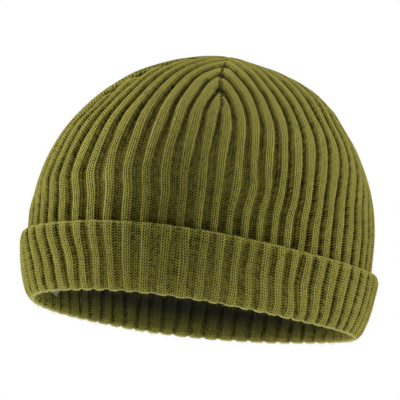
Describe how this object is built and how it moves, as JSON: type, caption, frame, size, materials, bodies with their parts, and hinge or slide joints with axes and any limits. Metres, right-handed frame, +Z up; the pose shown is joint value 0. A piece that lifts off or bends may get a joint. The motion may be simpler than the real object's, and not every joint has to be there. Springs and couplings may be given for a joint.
{
  "type": "knit watch cap",
  "caption": "Ribbed knit cap with a rounded crown closed by darts and a turned-up cuff; pulls on over a head to cover it down to the brow.",
  "frame": {"origin": "middle of the rim opening, in the plane of the folded rim, where the head goes in", "axes": "+Z up through the crown, -Y to the front of the head, +X to the wearer's left"},
  "size_m": [0.1718, 0.2134, 0.1526],
  "materials": {
    "olive_knit": "soft napped rib knit, matt",
    "label_tape": "fine woven tape, matt"
  },
  "bodies": {
    "root": {"knit_cap": "olive_knit", "label": "label_tape"}
  },
  "joints": []
}
